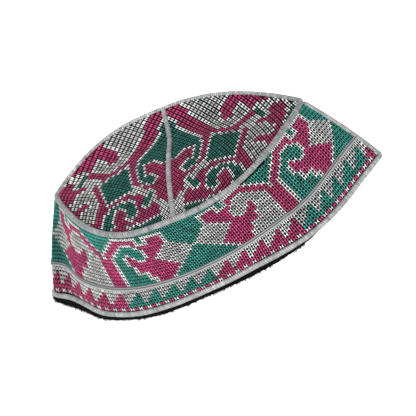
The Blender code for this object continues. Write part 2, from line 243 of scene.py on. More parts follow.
class DepthTable:
    # heights on a wall by running length down it from the ridge, a column for each of many places
    def __init__(self, side, places=401, steps=91):
        # the steps' lengths summed down each column; the columns' keys stand far apart
        self.side, self.places = side, places
        along = np.linspace(0, 1, places)
        top = wallLines(side, along)[0][:, 2]
        self.heights = top[:, None] * (1 - np.linspace(0, 1, steps))
        points = wallPoint(side, np.repeat(along[:, None], steps, 1), self.heights)
        down = np.linalg.norm(np.diff(points, axis=1), axis=2).cumsum(axis=1)
        self.depths = np.concatenate([np.zeros((places, 1)), down], 1)
        self.apart = 1000.0 * np.arange(places)

    def column(self, along):
        # the column before a place, and the share of the way to the next
        spot = np.clip(along, 0, 1) * (self.places - 1)
        first = np.clip(spot.astype(int), 0, self.places - 2)
        return first, spot - first

    def height(self, along, depth):
        # read down the two nearest columns, then between them
        first, share = self.column(along)
        keys = (self.depths + self.apart[:, None]).ravel()
        values, ends = self.heights.ravel(), self.depths[:, -1] - 1e-6
        one, two = [np.interp(np.clip(depth, 0, ends[spot]) + self.apart[spot], keys, values)
                    for spot in (first, first + 1)]
        return one * (1 - share) + two * share

    def depth(self, along, height):
        # the other way round: the running length down to a height
        top = wallLines(self.side, along)[0][..., 2]
        rung = np.clip(1 - height / top, 0, 1) * (self.depths.shape[1] - 1)
        low = np.clip(rung.astype(int), 0, self.depths.shape[1] - 2)
        rest = rung - low
        first, share = self.column(along)
        one, two = [self.depths[spot, low] * (1 - rest) + self.depths[spot, low + 1] * rest
                    for spot in (first, first + 1)]
        return one * (1 - share) + two * share


depthTables = {"front": DepthTable("front"), "back": DepthTable("back")}


def linear(red, green, blue):
    # screen values of 0 to 255 to scene linear: the 2.4 power curve
    value = np.array([red, green, blue]) / 255
    made = np.where(value <= 0.04045, value / 12.92, ((value + 0.055) / 1.055) ** 2.4)
    return tuple(made) + (1.0,)


def newGroup(name, inputs, outputs):
    # a node group with its sockets, and where they are read and written
    group = bpy.data.node_groups.new(name, "ShaderNodeTree")
    for label, value in inputs.items():
        kind = "NodeSocketVector" if value is None else "NodeSocketFloat"
        socket = group.interface.new_socket(name=label, in_out="INPUT", socket_type=kind)
        if value is not None:
            socket.default_value = value
    for label in outputs:
        group.interface.new_socket(name=label, in_out="OUTPUT", socket_type="NodeSocketFloat")
    return group, group.nodes.new("NodeGroupInput").outputs, group.nodes.new("NodeGroupOutput").inputs


def addNode(tree, kind, inputs, **settings):
    # a shader node: its settings first, then each input linked to a socket or set to a value
    node = tree.nodes.new("ShaderNode" + kind)
    for name, value in settings.items():
        setattr(node, name, value)
    for label, value in inputs.items():
        if isinstance(value, bpy.types.NodeSocket):
            tree.links.new(value, node.inputs[label])
        else:
            node.inputs[label].default_value = value
    return node


def makeFlossGrain():
    # fine filaments: noise drawn out along the thread, with a slow drift in tone; the tone also follows
    # the filaments' height, a painted shade between them
    group, source, result = newGroup(
        "flossGrain", {"Vector": None, "Across": 9.0, "Along": 1.2, "Drift": 0.3}, ["Height", "ToneAndPaintedShade"])
    scale = addNode(group, "CombineXYZ", {"X": source["Across"], "Y": source["Along"]})
    spread = addNode(group, "VectorMath", {0: source["Vector"], 1: scale.outputs[0]},
                     operation="MULTIPLY")
    fine = addNode(group, "TexNoise", {"Vector": spread.outputs[0], "Scale": 1.0, "Detail": 3.0})
    slow = addNode(group, "TexNoise", {"Vector": source["Vector"], "Scale": source["Drift"],
                                       "Detail": 1.0})
    mixed = addNode(group, "Math", {0: fine.outputs["Fac"], 1: 0.5, 2: slow.outputs["Fac"]},
                    operation="MULTIPLY_ADD")
    tone = addNode(group, "MapRange", {"Value": mixed.outputs[0], "From Min": 0.45, "From Max": 1.05,
                                       "To Min": 0.82, "To Max": 1.14})
    group.links.new(fine.outputs["Fac"], result["Height"])
    group.links.new(tone.outputs[0], result["ToneAndPaintedShade"])
    return group


def makePlainWeave():
    # over and under: the product of two sine waves, one along the cloth and one across it; the tone
    # follows it, a painted shade where the weave dips
    group, source, result = newGroup("plainWeave", {"Vector": None, "Threads": 9.0}, ["Height", "ToneAndPaintedShade"])
    scale = addNode(group, "VectorMath", {0: source["Vector"], "Scale": source["Threads"]},
                    operation="SCALE")
    parts = addNode(group, "SeparateXYZ", {0: scale.outputs[0]})
    over, along = [addNode(group, "Math", {0: parts.outputs[axis]}, operation="SINE")
                   for axis in ("X", "Y")]
    product = addNode(group, "Math", {0: over.outputs[0], 1: along.outputs[0]}, operation="MULTIPLY")
    for label, low, high in (("Height", 0.0, 1.0), ("ToneAndPaintedShade", 0.75, 1.2)):
        spread = addNode(group, "MapRange", {"Value": product.outputs[0], "From Min": -1.0,
                                             "To Min": low, "To Max": high})
        group.links.new(spread.outputs[0], result[label])
    return group


flossGrain = makeFlossGrain()
plainWeave = makePlainWeave()


def newMaterial(name, roughness, sheen=0.0, sheenRoughness=0.4, specular=0.5):
    # constant values go straight on the shader's own sockets
    material = bpy.data.materials.new(name)
    material.use_nodes = True
    shader = material.node_tree.nodes["Principled BSDF"]
    for label, value in (("Roughness", roughness), ("Sheen Weight", sheen),
                         ("Sheen Roughness", sheenRoughness), ("Specular IOR Level", specular)):
        shader.inputs[label].default_value = value
    return material, material.node_tree, shader


def dress(tree, shader, colour, tones, height, distance, strength):
    # the colour times each tone in turn, and the height as a bump
    last = colour[:3]
    for tone in tones:
        last = addNode(tree, "VectorMath", {0: last, "Scale": tone}, operation="SCALE").outputs[0]
    tree.links.new(last, shader.inputs["Base Color"])
    bump = addNode(tree, "Bump", {"Distance": distance, "Strength": strength, "Height": height})
    tree.links.new(bump.outputs["Normal"], shader.inputs["Normal"])


def makeThread(name, colour, finish):
    # stranded thread on its own map: filaments along it, each stitch with its own tone and the painted
    # shade and highlight carried in the tone attribute
    material, tree, shader = newMaterial(name, finish["roughness"], finish["sheen"], 0.35,
                                         finish["specular"])
    place = addNode(tree, "UVMap", {}, uv_map="threadMap")
    grain = addNode(tree, "Group", {"Vector": place.outputs["UV"], "Across": finish["across"],
                                    "Along": finish["along"], "Drift": finish["drift"]},
                    node_tree=flossGrain)
    tone = addNode(tree, "Attribute", {}, attribute_name="tone")
    dress(tree, shader, colour, [grain.outputs["ToneAndPaintedShade"], tone.outputs["Fac"]],
          grain.outputs["Height"], finish["bump"], 0.7)
    return material


stitchFinish = {"roughness": 0.48, "sheen": 0.0, "specular": 0.3,
                "across": 7.0, "along": 1.0, "drift": 0.7, "bump": 0.00025}
cordFinish = {"roughness": 0.46, "sheen": 0.2, "specular": 0.5,
              "across": 1.6, "along": 7.0, "drift": 0.12, "bump": 0.0002}
threadColours = {
    "T": ("tealThread", linear(58, 160, 147)),
    "P": ("pinkThread", linear(216, 72, 130)),
    "W": ("whiteThread", linear(240, 242, 238)),
    "G": ("greyThread", linear(214, 216, 214)),
}
threads = {letter: makeThread(name, colour, stitchFinish)
           for letter, (name, colour) in threadColours.items()}
cordThread = makeThread("silverCordThread", linear(176, 179, 178), cordFinish)


def makeGroundCloth():
    # near black cotton under the stitches
    material, tree, shader = newMaterial("groundCotton", 0.95, 0.0, 0.5, 0.08)
    place = addNode(tree, "UVMap", {}, uv_map="clothMap")
    weave = addNode(tree, "Group", {"Vector": place.outputs["UV"], "Threads": 9.0},
                    node_tree=plainWeave)
    dress(tree, shader, linear(17, 17, 20), [weave.outputs["ToneAndPaintedShade"]],
          weave.outputs["Height"], 0.0002, 0.6)
    return material


def makeVelvetAndShadow():
    # black pile: fine speckle of standing fibres, brushed lighter in slow patches; under the binding it
    # stands for the shadow there
    material, tree, shader = newMaterial("blackVelvetAndShadow", 0.95, 0.12, 0.35, 0.06)
    shader.inputs["Sheen Tint"].default_value = (0.55, 0.55, 0.6, 1)
    place = addNode(tree, "UVMap", {}, uv_map="clothMap")
    grain = addNode(tree, "Group", {"Vector": place.outputs["UV"], "Across": 3.0, "Along": 3.0,
                                    "Drift": 0.15}, node_tree=flossGrain)
    dress(tree, shader, linear(13, 13, 15), [grain.outputs["ToneAndPaintedShade"]],
          grain.outputs["Height"], 0.0006, 0.8)
    return material


groundCotton = makeGroundCloth()
blackVelvetAndShadow = makeVelvetAndShadow()
print("stage 2: threads and cloths are mixed")


def addMesh(name, points, faces, materials):
    # millimetre points and their faces as a piece of the cap
    mesh = bpy.data.meshes.new(name)
    mesh.from_pydata(toFrame(points), [], faces)
    for material in materials:
        mesh.materials.append(material)
    mesh.shade_smooth()
    piece = bpy.data.objects.new(name, mesh)
    bpy.context.scene.collection.objects.link(piece)
    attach(piece, "root")
    return piece


def gridFaces(rows, columns, closedRows=False, closedColumns=False):
    # each grid square from its corner and the next along both ways
    r = np.arange(rows if closedRows else rows - 1)[:, None]
    c = np.arange(columns if closedColumns else columns - 1)[None, :]
    r2, c2 = (r + 1) % rows, (c + 1) % columns
    return np.stack([r * columns + c, r2 * columns + c, r2 * columns + c2, r * columns + c2],
                    -1).reshape(-1, 4)


def tubeFaces(count, around, closed=False):
    # squares from ring to ring, and a cap at each end of an open tube
    faces = gridFaces(count, around, closedRows=closed, closedColumns=True).tolist()
    if not closed:
        faces += [list(range(around)), [count * around - 1 - i for i in range(around)]]
    return faces


def setMap(mesh, name, u, v):
    # a map from two values for each point
    layer = mesh.uv_layers.new(name=name)
    corners = np.empty(len(mesh.loops), np.int32)
    mesh.loops.foreach_get("vertex_index", corners)
    perPoint = np.stack(np.broadcast_arrays(u, v), -1).reshape(-1, 2)
    layer.data.foreach_set("uv", perPoint[corners].astype(np.float32).ravel())


def setTone(mesh, values):
    # a tone for each point, with its painted shade and highlight, which the thread's material reads
    tone = mesh.attributes.new("tone", "FLOAT", "POINT")
    tone.data.foreach_set("value", values.astype(np.float32).ravel())


def turnOutwards(mesh):
    # every face's front to the outside of its closed shell
    shell = bmesh.new()
    shell.from_mesh(mesh)
    bmesh.ops.recalc_face_normals(shell, faces=shell.faces)
    shell.to_mesh(mesh)
    shell.free()
    mesh.shade_smooth()


def addCloth(name, grid, thickness):
    # a sheet of grid points with its map in millimetres, grown inwards by its thickness
    rows, columns = grid.shape[:2]
    piece = addMesh(name, grid.reshape(-1, 3), gridFaces(rows, columns).tolist(), [groundCotton])
    down = np.linalg.norm(np.diff(grid, axis=0), axis=2).cumsum(axis=0)
    over = np.linalg.norm(np.diff(grid, axis=1), axis=2).cumsum(axis=1)
    setMap(piece.data, "clothMap", np.concatenate([np.zeros((rows, 1)), over], 1),
           np.concatenate([np.zeros((1, columns)), down], 0))
    wall = piece.modifiers.new("cloth", "SOLIDIFY")
    wall.thickness = thickness * 0.001
    wall.offset = -1
    return piece


def smoothLoop(loop, reach):
    # each point becomes the mean of its neighbours on a closed loop
    return sum(np.roll(loop, shift, axis=0) for shift in range(-reach, reach + 1)) / (2 * reach + 1)


def wallLoop(heightOf, reach=3, samples=300):
    # round both walls at the height that heightOf gives, with rounded tips
    along = np.arange(samples) / samples
    loops = [wallPoint(side, along, heightOf(side, along)) for side in ("front", "back")]
    return smoothLoop(np.concatenate(loops), reach)


def evenPath(path, closed, count):
    # the same path in steps of one length
    if closed:
        path = np.concatenate([path, path[:1]])
    run = runningLength(path)
    even = np.linspace(0, run[-1], count, endpoint=not closed)
    return np.stack([np.interp(even, run, path[:, axis]) for axis in range(3)], 1), run[-1]


def ridgeLoop(reach=3, samples=300):
    # round the crown along both ridges, in even steps, with rounded tips
    along = np.arange(samples) / samples
    loop = np.concatenate([wallLines("front", along)[0], wallLines("back", along)[0]])
    even, _ = evenPath(loop, True, 2 * samples)
    return smoothLoop(even, reach)


# the ground cloth of the two walls and of the two halves of the crown, in millimetres
groundSettings = {
    "thickness": 1.6,
    "sink": 0.2,             # below the solids' face, as the stitches stand on it
    "bandColumns": 260,
    "bandRows": 44,
    "underPiping": 1.2,
    "overBinding": 0.6,
    "crownColumns": 80,
    "crownRows": 96,
    "fromSeam": 0.5,
    "fromRidge": 0.8,
    "fromTip": 3.2,
    "tipGap": 0.006,         # share of the way along the wall
}


def wallCloth(side):
    # from just under the piping to just over the binding's middle, sunk along the wall's level normal
    columns, rows = groundSettings["bandColumns"], groundSettings["bandRows"]
    gap = groundSettings["tipGap"]
    along = np.broadcast_to(np.linspace(gap, 1 - gap, columns), (rows, columns))
    top = wallLines(side, along[0])[0][:, 2] - groundSettings["underPiping"]
    bottom = bindingHeight(side, along[0]) + groundSettings["overBinding"]
    share = np.linspace(0, 1, rows)[:, None]
    grid = wallPoint(side, along, top + (bottom - top) * share)
    return grid - groundSettings["sink"] * levelNormal(np.gradient(grid, axis=1))


def seamX(y):
    # the straight seam over the crown, from the front ridge to the back one
    frontX, backX = cordSizes["seamFrontX"], cordSizes["seamBackX"]
    frontY, backY = float(frontRidgeY(np.array(frontX))), float(backRidgeY(np.array(backX)))
    return frontX + (backX - frontX) * (y - frontY) / (backY - frontY)


def crownCloth(half):
    # from beside the seam out to the tip, and across from ridge to ridge
    columns, rows = groundSettings["crownColumns"], groundSettings["crownRows"]
    endX = half * (capShape["halfLength"] - groundSettings["fromTip"])
    out = np.linspace(0, 1, columns)
    frontX, backX = [start + (endX - start) * out
                     for start in (cordSizes["seamFrontX"] + half * groundSettings["fromSeam"],
                                   cordSizes["seamBackX"] + half * groundSettings["fromSeam"])]
    across = np.linspace(0, 1, rows)[:, None]
    x = frontX + (backX - frontX) * across
    frontY = frontRidgeY(frontX) + groundSettings["fromRidge"]
    backY = backRidgeY(backX) - groundSettings["fromRidge"]
    grid = crownPoint(x, frontY + (backY - frontY) * across)
    grid[..., 2] -= groundSettings["sink"]
    return grid if half < 0 else grid[:, ::-1]


for name, grid, slot in (("bandClothFront", wallCloth("front"), "band"),
                         ("bandClothBack", wallCloth("back"), "band"),
                         ("crownClothLeft", crownCloth(-1), "crown"),
                         ("crownClothRight", crownCloth(1), "crown")):
    addCloth(name, grid, groundSettings["thickness"])
print("stage 3: the ground cloths are cut")

# counted stitches: each is two plump strands down its column, which part at both ends,
# so that a hole opens between a stitch and the next, and a line between the columns
stitchSettings = {
    "pinch": 0.18,           # strand's middle from the stitch's own, in stitch widths
    "spread": 0.37,          # and at the strand's ends
    "halfWidth": 0.175,
    "endWidth": 0.55,        # share of it left at the strand's ends
    "reach": 0.495,          # end of a strand from the middle, in stitch heights
    "lift": 0.4,             # top of a strand over the solids' face, in millimetres
    "endLift": 0.0,
    "root": -0.7,
    "paintedRootShade": 0.1,         # painted shade of a strand where it dives into the cloth
    "paintedTopHighlight": 1.17,         # painted highlight on its top
    "paintedEndShade": 0.4,          # and the share of both left at its ends, a painted shade by the holes
    "toneSpread": 0.16,      # from stitch to stitch
    "wander": 0.05,          # of size, from stitch to stitch
    "seed": 11,
}


def stitchTemplate(style):
    # five stations down each strand; half an ellipse over each, closed below
    down = np.array([-1.0, -0.56, 0.0, 0.56, 1.0])
    over = np.array([-1.0, -0.62, 0.0, 0.62, 1.0])
    rise = np.array([0.0, 0.80, 1.0, 0.80, 0.0])
    count = len(down) * len(over)
    points, faces, maps, tones = [], [], [], []
    for first, strand in ((0, -1), (count, 1)):
        middle = strand * (style["pinch"] + (style["spread"] - style["pinch"]) * np.abs(down) ** 1.1)
        width = style["halfWidth"] * (1 - (1 - style["endWidth"]) * np.abs(down) ** 1.3)
        top = style["lift"] + (style["endLift"] - style["lift"]) * np.abs(down) ** 2.6
        x = middle[:, None] + width[:, None] * over
        y = np.repeat(down[:, None] * style["reach"], len(over), 1)
        z = style["root"] + (top[:, None] - style["root"]) * rise
        points.append(np.stack([x, y, z], -1).reshape(-1, 3))
        maps.append(np.stack([np.tile(over * 0.5 + strand, (len(down), 1)), y], -1).reshape(-1, 2))
        # painted shade and highlight: darker down each strand's sides to its root and towards its ends,
        # lighter on its top
        paintedDepthShade = style["paintedRootShade"] + (style["paintedTopHighlight"] - style["paintedRootShade"]) * rise ** 1.8
        far = 1 - (1 - style["paintedEndShade"]) * np.abs(down) ** 3
        tones.append((paintedDepthShade[None] * far[:, None]).ravel())
        faces.append(first + gridFaces(len(down), len(over), closedColumns=True))
    cap = np.arange(len(over))
    caps = np.array([cap, count - 1 - cap, count + cap, 2 * count - 1 - cap])
    return [np.concatenate(part) for part in (points, faces, maps, tones)] + [caps]


def addStitches(name, columns, rows, letters, warp, style, tones):
    # the template moved to each stitch's column and row, then warped on to the cloth with its lift
    chance = np.random.default_rng(style["seed"] + len(columns))
    shape, quads, maps, paintedStrandShade, caps = stitchTemplate(style)
    count = len(columns)
    sway = 1 + style["wander"] * chance.normal(size=(count, 3))
    a = columns[:, None] + shape[None, :, 0] * sway[:, :1]
    b = rows[:, None] + shape[None, :, 1] * sway[:, 1:2]
    lift = np.where(shape[None, :, 2] > 0, shape[None, :, 2] * sway[:, 2:], shape[None, :, 2])
    points = warp(a, b, lift, columns, rows)
    starts = len(shape) * np.arange(count)[:, None, None]
    faces = (starts + quads).reshape(-1, 4).tolist()
    faces += (starts + caps).reshape(-1, caps.shape[1]).tolist()
    used = sorted(set(letters))
    piece = addMesh(name, points.reshape(-1, 3), faces, [threads[letter] for letter in used])
    number = np.array([used.index(letter) for letter in letters], np.int32)
    perFace = np.concatenate([np.repeat(number, len(quads)), np.repeat(number, len(caps))])
    piece.data.polygons.foreach_set("material_index", perFace)
    # each stitch's random tone times the tones given, then the template's painted shade and highlight
    shade = (1 + style["toneSpread"] * chance.normal(size=count)) * tones
    setTone(piece.data, shade[:, None] * paintedStrandShade)
    place = maps[None] + chance.uniform(0, 40, size=(count, 1, 2))
    setMap(piece.data, "threadMap", place[..., 0], place[..., 1])
    turnOutwards(piece.data)
    print(name, count, "stitches")
    return piece


# the wall's main band, from the bar's middle column outwards, top row first:
# T teal, P pink, W white, G grey, H teal on one side of the bar and grey on the other
bandChart = [
    "TTTTTWWWWWWTWWWWWTTTT",
    "TTTTWPPPPPWTWPPPWTTTT",
    "TTTWPPWWWPWWWPPPWTTTT",
    "TTWPPWHHHWPPPPPPWTTTT",
    "TWPPWHHHHHWPPPPWGWTTT",
    "WPPWHHWHHHWPPPWGGGWTT",
    "WPWHHWPWHHWPPWGGGGGWT",
    "PPWHHWPPWWPPWGGGGGGGW",
    "PPWHHWPPPPPPPWGGGGGWT",
    "PPWHHHWPPPPPPPWGGGWTT",
    "PPWHHHWPPPPPPPPWGWTTT",
    "PPWHHHWWWPPPPPPPWTTTT",
    "PPWHHHHHWPPPPPPWTTTTT",
    "PPWHHHHHWWPPPPWTTTTTT",
    "PPWHHHHHHWPPPWTTTTTTT",
]
bandSettings = {
    "period": 41,            # columns from bar to bar
    "barColumn": 21,
    "groupColumns": 20,      # the border changes colour as often
    "triangleColumns": 4,
    "mainRows": 15,          # the braid takes the row under them
    "borderRows": 6,
    "keepUnderPiping": 0.6,
    "keepOverBinding": 0.3,
    "paintedShadeEnd": (-36, -16),   # columns over which a painted shade darkens the left end, which turns from the light
    "paintedShadeTone": 0.58,
    "sideGap": 1.3,
    "frontColumns": (-46, 46),
    "backColumns": 86,
    "backFirst": 43,
    "backFirstRow": 2.6,
    "leanDepth": 28.0,       # millimetres below the ridge where the columns are placed
}

# where each column of the front runs, 28 mm below the ridge: column, millimetres from the left crease
columnPlaces = np.array([
    (-47.6, -14.4), (-43.6, 0.0), (-36.0, 27.4), (-22.0, 78.0), (-15.0, 102.7), (-6.0, 133.5),
    (0.5, 154.2), (8.0, 177.2), (12.0, 191.8), (16.0, 208.7), (21.0, 230.2), (25.0, 245.5),
    (29.0, 257.2), (33.0, 267.5), (37.0, 280.8), (42.5, 300.8), (46.5, 315.3),
])
# how far the columns lean to the right going down: millimetres from the left crease, lean
columnLean = np.array([(0.0, 0.13), (92.0, 0.14), (154.0, 0.11), (222.0, -0.04), (300.0, -0.08)])
# height of a row above the braid: millimetres from the left crease, row height
rowHeights = np.array([
    (0.0, 3.05), (60.0, 2.85), (90.0, 2.76), (120.0, 2.68), (153.0, 2.65), (180.0, 2.77),
    (210.0, 2.95), (240.0, 2.95), (260.0, 2.89), (300.8, 2.85),
])
# the border's columns lag behind the main band's: millimetres from the left crease, lag
borderLag = np.array([
    (0.0, 0.0), (30.0, 0.0), (45.0, -0.8), (60.0, -3.4), (75.0, -4.2), (115.0, -4.2),
    (130.0, -3.1), (155.0, -2.6), (167.0, -2.0), (178.0, -0.9), (192.0, -0.4), (208.0, -1.7),
    (225.0, -3.2), (300.0, 0.0),
])
frontEnd = {"column": 42.5, "length": 300.8}   # at the right crease


def bandLetter(column, row):
    # the chart mirrored about the bar and repeated by its period; stepped triangles in the border
    away = column - bandSettings["barColumn"]
    away = away - bandSettings["period"] * round(away / bandSettings["period"])
    if row < bandSettings["mainRows"]:
        letter = bandChart[row][abs(away)] if row >= 0 else "T"
        if letter == "H":
            return "T" if away > 0 else "G"
        return letter
    place = column - 1
    pink = place < -2 * bandSettings["groupColumns"] or (place // bandSettings["groupColumns"]) % 2 == 0
    step = row - bandSettings["mainRows"] - 1          # 0 at the border's top row
    if step == bandSettings["borderRows"] - 1:
        return "P" if place % 2 else "W"
    if step >= bandSettings["triangleColumns"] - place % bandSettings["triangleColumns"]:
        return "P" if pink else "T"
    return "W" if pink else "G"


def bandPlace(side, column, row):
    # along from the column and its lean, depth from the row: three rounds, as each needs the other
    depths = depthTables[side]
    length, mainRows = frontEnd["length"], bandSettings["mainRows"]
    if side == "back":
        along = (column - frontEnd["column"]) / bandSettings["backColumns"]
    else:
        along = readTable(columnPlaces, column) / length
    for _ in range(3):
        waist = depths.depth(along, capShape["waist"])
        clear = cordSizes["bindingRadius"] + bandSettings["keepOverBinding"]
        lowest = bindingHeight(side, along) + clear
        below = (depths.depth(along, lowest) - waist) / (bandSettings["borderRows"] + 0.55)
        if side == "back":
            above = (waist - bandSettings["backFirstRow"]) / (mainRows + 0.4)
        else:
            above = readTable(rowHeights, along * length)
        depth = waist + (row - mainRows) * np.where(row < mainRows, above, below)
        if side == "front":
            lean = readTable(columnLean, along * length) * (depth - bandSettings["leanDepth"])
            at = readTable(columnPlaces, column) + lean
            along = (at + np.where(row > mainRows, readTable(borderLag, at), 0)) / length
    return along, depth


def faceNormal(pointOf, a, b, step=0.2):
    # the cross product of two short steps on the face
    over = pointOf(a + step, b) - pointOf(a - step, b)
    down = pointOf(a, b + step) - pointOf(a, b - step)
    return unit(np.cross(over, down))


def bandWarp(side):
    # the way from columns, rows and lifts to points of one wall
    def onWall(column, row):
        # the wall's point at a column and row, clear of the tips
        along, depth = bandPlace(side, column, row)
        along = np.clip(along, groundSettings["tipGap"], 1 - groundSettings["tipGap"])
        return wallPoint(side, along, depthTables[side].height(along, depth))

    def warp(column, row, lift, middleColumn, middleRow):
        # each point of a stitch on the wall, out along the normal at the stitch's middle
        normal = -faceNormal(onWall, middleColumn, middleRow)
        return onWall(column, row) + normal[:, None, :] * lift[..., None]

    return warp


def bandStitches(side):
    # every column and row whose middle lies on the wall and clear of the piping
    if side == "front":
        (first, last), firstRow = bandSettings["frontColumns"], -6
    else:
        first, firstRow = bandSettings["backFirst"], 0
        last = first + bandSettings["backColumns"]
    lastRow = bandSettings["mainRows"] + bandSettings["borderRows"]
    rowRange = [row for row in range(firstRow, lastRow + 1) if row != bandSettings["mainRows"]]
    column, row = [grid.ravel().astype(float) for grid in np.meshgrid(np.arange(first, last), rowRange)]
    along, depth = bandPlace(side, column, row)
    gap = bandSettings["sideGap"] / frontEnd["length"]
    kept = (along > gap) & (along < 1 - gap) & (depth > bandSettings["keepUnderPiping"])
    column, row = column[kept], row[kept]
    return column, row, [bandLetter(int(c), int(r)) for c, r in zip(column, row)]


for side in ("front", "back"):
    column, row, letters = bandStitches(side)
    name = "bandStitches" + side.capitalize()
    # painted shade on the band's left end
    tones = np.interp(column, bandSettings["paintedShadeEnd"], [bandSettings["paintedShadeTone"], 1.0])
    addStitches(name, column, row, letters, bandWarp(side),
                               stitchSettings, tones)

# the crown's stitches are shorter and stand apart both ways, with their own painted shade at root and
# ends and painted highlight on top
crownStyle = dict(stitchSettings, pinch=0.185, halfWidth=0.19, spread=0.26, endWidth=0.62, reach=0.42,
                  lift=0.5, root=-0.6, paintedRootShade=0.06, paintedTopHighlight=1.1, paintedEndShade=0.3)

# its cloth is turned on the cross, so its columns run aslant: one step over, one down
crownSettings = {
    "over": 1.88,            # millimetres across for a step
    "down": 2.4,             # and towards the front
    "fan": -0.0244,          # how the fan closes towards the front
    "bow": -0.009,           # how its rows bend down at both ends
    "edgeGap": 0.9,          # from the piping's middle
    "seamGap": 0.5,          # steps on either side of the seam
    # each thread's tone on the crown, mostly darker than on the band: partly the thread's own tone,
    # partly painted shade on the sunken crown
    "tones": {"T": 0.62, "P": 0.87, "W": 1.1, "G": 0.92},
    "paintedLightStart": -9.0,      # steps down where a painted light starts on the cloth that leans to the light
    "paintedLightReach": 8.0,
    "paintedLightGain": 0.3,
}


def crownPlace(over, down):
    # across is the step times its width, closing with depth; down is the step less the bow
    x = crownSettings["over"] * over + crownSettings["fan"] * over * down
    y = -crownSettings["down"] * down + crownSettings["bow"] * over ** 2
    return x + seamX(y), y


def crownWarp(over, down, lift, middleOver, middleDown):
    # each stitch turned half a right angle in its steps, and lifted along its own normal
    def onCrown(a, b):
        # the crown's point at steps over and down
        return crownPoint(*crownPlace(a, b))

    normal = faceNormal(onCrown, middleOver, middleDown)
    normal *= np.sign(normal[:, 2:])
    across, along = over - middleOver[:, None], down - middleDown[:, None]
    points = onCrown(middleOver[:, None] + along + across, middleDown[:, None] + along - across)
    return points + normal[:, None, :] * lift[..., None]


# the crown's motifs on a pink ground, for the half to the right of the seam, as corners
# in steps over from the seam and down towards the front; the later lie on the earlier
crownMotifs = [
    # kite by the seam, with a lobe that curls under its hook
    ("T", [(-1, -17.6), (1.2, -17.2), (5, -12.8), (9, -8), (12.5, -3.5), (13.8, -0.5), (13.8, 7),
           (12.6, 9.6), (10.5, 11.2), (6.5, 11.2), (4.6, 10), (4.4, 7.9), (6.3, 6.1), (8.6, 5.4),
           (10, 4.4), (10, 2.2), (8.8, 0.6), (6.8, 0.2), (4.8, 2.2), (2.8, 3.6), (-1, 3.6)]),
    # six-sided field
    ("T", [(15.2, -4.6), (17.5, -3.6), (22, -2.5), (26, -1.6), (28.8, 0), (29, 10.1), (22, 10.4),
           (17, 10.4), (15.6, 8.8), (15.8, -2)]),
    # hook at the front
    ("T", [(21, 21.4), (18.2, 20.8), (16.2, 18.4), (16.2, 15.4), (17.7, 12.9), (20.5, 11.9),
           (29.5, 11.9), (32, 13.3), (35.5, 16.5), (34.5, 20), (31.4, 21), (28.6, 18.8),
           (26.6, 15.4), (24, 14.6), (22.4, 16.4), (23.4, 18.2), (23.3, 20.8)]),
    # light steps from the field down to the seam, and a small bar in them
    ("W", [(15, 8.8), (18, 10.4), (15, 13), (12.4, 15), (15.3, 17.6), (13.8, 19.6), (10.5, 19.2),
           (8, 18.6), (6.2, 20.4), (7.6, 25), (8, 29), (-1, 29), (-1, 21.5), (3, 20.3),
           (7, 17.4), (5.6, 14.8), (8, 12), (10.2, 13.4), (13, 11)]),
    ("t", [(7.6, 14.6), (9, 13.4), (13.6, 17.2), (12.4, 18.4)]),
    # edge at the front
    ("T", [(6.5, 24), (12, 24), (18, 23), (25, 21.6), (25, 30), (6.5, 30)]),
    # pale field at the back with its hook
    ("G", [(4.8, -22), (10, -23), (21, -21.5), (21.3, -16.5), (20.6, -14.6), (18.4, -12.8),
           (18.6, -10.6), (20.2, -9), (21.9, -9.2), (22.8, -11.4), (24.4, -13.2), (26.6, -13),
           (28.4, -9.6), (27.5, -7.8), (26, -6), (24, -4.5), (20, -5), (17, -6), (14.5, -7.8),
           (10, -13.3), (6.5, -17.8), (4.8, -20.5)]),
    # light steps towards the tip, and a small bar in them
    ("W", [(29, -10.3), (31, -11.5), (35, -11.2), (37, -12.2), (46, -11), (45, -4), (41.7, -4.6),
           (41.2, -8), (38.8, -10), (36.6, -8.8), (35, -9), (37.3, -5.6), (36.5, -4.3),
           (34, -4.6), (31.6, -2.6), (29.6, -1.2), (26.6, -2.6), (29.3, -5.4), (30.2, -7.8)]),
    ("t", [(30, -9), (31.4, -10.2), (35.4, -6), (34.2, -4.9)]),
    ("T", [(41.9, -5), (46, -7), (46, 2), (42.6, 1.5)]),
    # pale lobe at the tip
    ("G", [(30.2, -0.5), (31.5, -2.4), (34, -2.7), (38, -1.8), (40.2, 0), (40.3, 3.6), (37, 3.7),
           (34.8, 4), (34.8, 5.4), (38, 5.9), (42, 6.2), (42, 9.5), (36.5, 13), (33, 10.4),
           (31, 8), (30.2, 4)]),
]


def insideOutline(over, down, corners):
    # even and odd crossings of a line running across from the point
    corners = np.array(corners, float)
    after = np.roll(corners, -1, axis=0)
    x, y = over[..., None], down[..., None]
    spans = (corners[:, 1] > y) != (after[:, 1] > y)
    rise = np.where(after[:, 1] == corners[:, 1], 1, after[:, 1] - corners[:, 1])
    meets = corners[:, 0] + (y - corners[:, 1]) * (after[:, 0] - corners[:, 0]) / rise
    return (spans & (x < meets)).sum(axis=-1) % 2 == 1


def crownLetters(over, down):
    # the motif that each stitch lies in, edged in white where it meets another colour
    def motifAt(a, b):
        # the last motif in the list that a place lies in, or the pink ground
        found = np.full(a.shape, "P")
        for letter, corners in crownMotifs:
            found[insideOutline(a, b, corners)] = letter
        return found

    letters = motifAt(over, down)
    edged = np.zeros(over.shape, bool)
    for aside in (-1, 1):
        for below in (-1, 1):
            edged |= motifAt(np.abs(over + aside), down + below) == "P"
    letters[edged & ((letters == "T") | (letters == "G"))] = "W"
    letters[letters == "t"] = "T"
    return letters


